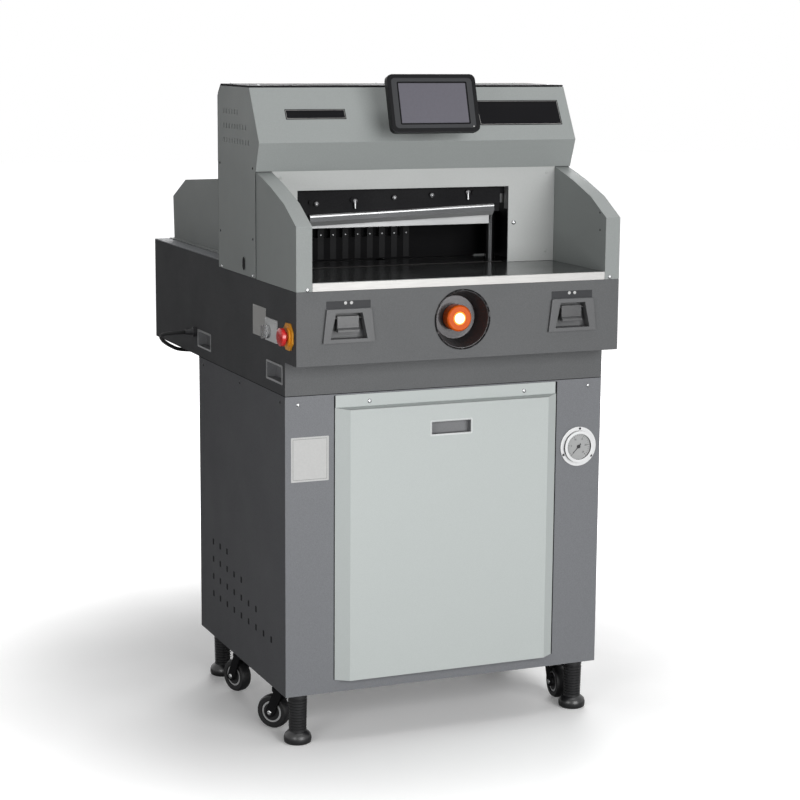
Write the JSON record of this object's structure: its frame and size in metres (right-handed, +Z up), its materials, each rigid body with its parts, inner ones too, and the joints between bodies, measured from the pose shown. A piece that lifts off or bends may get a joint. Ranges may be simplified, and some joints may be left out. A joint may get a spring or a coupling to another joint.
{
  "type": "hydraulic paper cutter",
  "caption": "Floor-standing hydraulic guillotine for paper: cabinet on casters, table with throat, dropping knife and clamp, back gauge, touch screen and mains cord.",
  "frame": {"origin": "middle of the footprint at floor level", "axes": "+Z up, the operator's side faces -Y, +X to the operator's right"},
  "size_m": [0.817, 1.026, 1.4189],
  "materials": {
    "dark_grey_paint": "textured satin",
    "mid_grey_paint": "textured satin",
    "pale_grey_paint": "textured satin",
    "head_grey_paint": "textured satin",
    "black_paint": "satin",
    "polished_iron": "ground and polished",
    "cast_iron": "machined, dark",
    "ground_steel": "ground",
    "chrome": "polished",
    "brushed_aluminium": "brushed",
    "black_plastic": "matt",
    "screen_plastic": "matt",
    "red_plastic": "gloss",
    "yellow_plastic": "gloss",
    "orange_lens": "translucent gloss",
    "stick_plastic": "matt",
    "rubber": "matt",
    "tank_paint": "gloss"
  },
  "bodies": {
    "machine": {"cabinet": "dark_grey_paint", "front_cover": "pale_grey_paint", "console_shell": "dark_grey_paint", "table": "polished_iron", "table_edge_strip": "brushed_aluminium", "rear_table": "mid_grey_paint", "cutting_stick": "stick_plastic", "left_guard": "mid_grey_paint", "right_guard": "mid_grey_paint", "head_hood": "head_grey_paint", "head_lid": "black_paint", "head_back_panel": "head_grey_paint", "front_plate": "head_grey_paint", "portal_frame": "cast_iron", "rear_guard_left": "mid_grey_paint", "rear_guard_right": "mid_grey_paint", "gauge_rails": "ground_steel", "gauge_motor": "black_paint", "knob_well": "black_plastic", "left_switch_bezel": "black_plastic", "right_switch_bezel": "black_plastic", "screen_bracket": "black_plastic", "e_stop_collar": "yellow_plastic", "isolator_plate": "brushed_aluminium", "pressure_gauge": "black_plastic", "oil_tank": "tank_paint", "pump_unit": "cast_iron", "valve_block": "brushed_aluminium", "knife_cylinder": "chrome", "clamp_cylinder": "cast_iron", "cable_gland": "black_plastic", "power_cord": "rubber", "cord_coil": "rubber", "mains_plug": "black_plastic"},
    "knife_drive": {"knife_crosshead": "ground_steel"},
    "knife_unit": {"knife_carrier": "cast_iron", "knife": "ground_steel"},
    "clamp": {"clamp_beam": "ground_steel", "clamp_yoke": "chrome"},
    "screw": {"lead_screw": "ground_steel"},
    "gauge": {"back_gauge": "ground_steel"},
    "left_switch": {"left_paddle": "black_plastic"},
    "right_switch": {"right_paddle": "black_plastic"},
    "knob": {"control_knob": "orange_lens"},
    "screen": {"touch_screen": "screen_plastic"},
    "stop_button": {"e_stop_button": "red_plastic"},
    "isolator": {"isolator_knob": "black_plastic"},
    "needle": {"gauge_needle": "black_plastic"},
    "foot_front_left": {"foot_front_left": "rubber"},
    "fork_front_left": {"caster_fork_front_left": "black_paint"},
    "wheel_front_left": {"caster_wheel_front_left": "rubber"},
    "foot_rear_left": {"foot_rear_left": "rubber"},
    "fork_rear_left": {"caster_fork_rear_left": "black_paint"},
    "wheel_rear_left": {"caster_wheel_rear_left": "rubber"},
    "foot_front_right": {"foot_front_right": "rubber"},
    "fork_front_right": {"caster_fork_front_right": "black_paint"},
    "wheel_front_right": {"caster_wheel_front_right": "rubber"},
    "foot_rear_right": {"foot_rear_right": "rubber"},
    "fork_rear_right": {"caster_fork_rear_right": "black_paint"},
    "wheel_rear_right": {"caster_wheel_rear_right": "rubber"}
  },
  "joints": [
    {"name": "knife_drop", "type": "slide", "parent": "machine", "child": "knife_drive", "axis": [0, 0, -1], "range_m": [0, 0.106]},
    {"name": "knife_level", "type": "hinge", "parent": "knife_drive", "child": "knife_unit", "pos_m": [0.2479, -0.2449, 1.171], "axis": [0, 1, 0], "range_deg": [0, 1.9]},
    {"name": "clamp_drop", "type": "slide", "parent": "machine", "child": "clamp", "axis": [0, 0, -1], "range_m": [0, 0.083]},
    {"name": "screw_turn", "type": "hinge", "parent": "machine", "child": "screw", "pos_m": [-0.0171, -0.152, 0.952], "axis": [0, 1, 0], "range_deg": [-1728, 12456]},
    {"name": "gauge_slide", "type": "slide", "parent": "machine", "child": "gauge", "axis": [0, 1, 0], "range_m": [-0.048, 0.346]},
    {"name": "knob_turn", "type": "hinge", "parent": "machine", "child": "knob", "pos_m": [0.0113, -0.494, 0.9149], "axis": [0, 1, 0], "continuous": true},
    {"name": "screen_tilt", "type": "hinge", "parent": "machine", "child": "screen", "pos_m": [0.0203, -0.287, 1.3144], "axis": [1, 0, 0], "range_deg": [-10, 10]},
    {"name": "stop_push", "type": "slide", "parent": "machine", "child": "stop_button", "axis": [1, 0, 0], "range_m": [0, 0.0045], "stiffness_N_per_m": 600, "springref_m": -0.003},
    {"name": "isolator_turn", "type": "hinge", "parent": "machine", "child": "isolator", "pos_m": [-0.3624, -0.347, 0.886], "axis": [-1, 0, 0], "range_deg": [0, 90]},
    {"name": "needle_swing", "type": "hinge", "parent": "machine", "child": "needle", "pos_m": [0.3266, -0.4414, 0.609], "axis": [0, 1, 0], "range_deg": [0, 276], "stiffness_Nm_per_rad": 0.0005, "springref_deg": -22.92},
    {"name": "left_paddle_press", "type": "hinge", "parent": "machine", "child": "left_switch", "pos_m": [-0.2454, -0.501, 0.929], "axis": [1, 0, 0], "range_deg": [0, 12], "stiffness_Nm_per_rad": 0.6, "springref_deg": -5.73},
    {"name": "right_paddle_press", "type": "hinge", "parent": "machine", "child": "right_switch", "pos_m": [0.268, -0.501, 0.929], "axis": [1, 0, 0], "range_deg": [0, 12], "stiffness_Nm_per_rad": 0.6, "springref_deg": -5.73},
    {"name": "foot_adjust_front_left", "type": "slide", "parent": "machine", "child": "foot_front_left", "axis": [0, 0, -1], "range_m": [0, 0.02]},
    {"name": "caster_swivel_front_left", "type": "hinge", "parent": "machine", "child": "fork_front_left", "pos_m": [-0.3207, -0.312, 0.09], "axis": [0, 0, 1], "continuous": true},
    {"name": "caster_spin_front_left", "type": "hinge", "parent": "fork_front_left", "child": "wheel_front_left", "pos_m": [-0.33484, -0.29515, 0.0375], "axis": [0.766, 0.6428, 0], "continuous": true},
    {"name": "foot_adjust_rear_left", "type": "slide", "parent": "machine", "child": "foot_rear_left", "axis": [0, 0, -1], "range_m": [0, 0.02]},
    {"name": "caster_swivel_rear_left", "type": "hinge", "parent": "machine", "child": "fork_rear_left", "pos_m": [-0.3207, -0.041, 0.09], "axis": [0, 0, 1], "continuous": true},
    {"name": "caster_spin_rear_left", "type": "hinge", "parent": "fork_rear_left", "child": "wheel_rear_left", "pos_m": [-0.32822, -0.02033, 0.0375], "axis": [0.9397, 0.342, 0], "continuous": true},
    {"name": "foot_adjust_front_right", "type": "slide", "parent": "machine", "child": "foot_front_right", "axis": [0, 0, -1], "range_m": [0, 0.02]},
    {"name": "caster_swivel_front_right", "type": "hinge", "parent": "machine", "child": "fork_front_right", "pos_m": [0.3433, -0.312, 0.09], "axis": [0, 0, 1], "continuous": true},
    {"name": "caster_spin_front_right", "type": "hinge", "parent": "fork_front_right", "child": "wheel_front_right", "pos_m": [0.34138, -0.33392, 0.0375], "axis": [-0.9962, 0.0872, 0], "continuous": true},
    {"name": "foot_adjust_rear_right", "type": "slide", "parent": "machine", "child": "foot_rear_right", "axis": [0, 0, -1], "range_m": [0, 0.02]},
    {"name": "caster_swivel_rear_right", "type": "hinge", "parent": "machine", "child": "fork_rear_right", "pos_m": [0.3433, -0.041, 0.09], "axis": [0, 0, 1], "continuous": true},
    {"name": "caster_spin_rear_right", "type": "hinge", "parent": "fork_rear_right", "child": "wheel_rear_right", "pos_m": [0.33578, -0.02033, 0.0375], "axis": [0.9397, 0.342, 0], "continuous": true}
  ],
  "couplings": [
    {"joint": "knife_level", "follows": "knife_drop", "rad_per_m": 0.3128},
    {"joint": "screw_turn", "follows": "gauge_slide", "rad_per_m": 628.3}
  ]
}
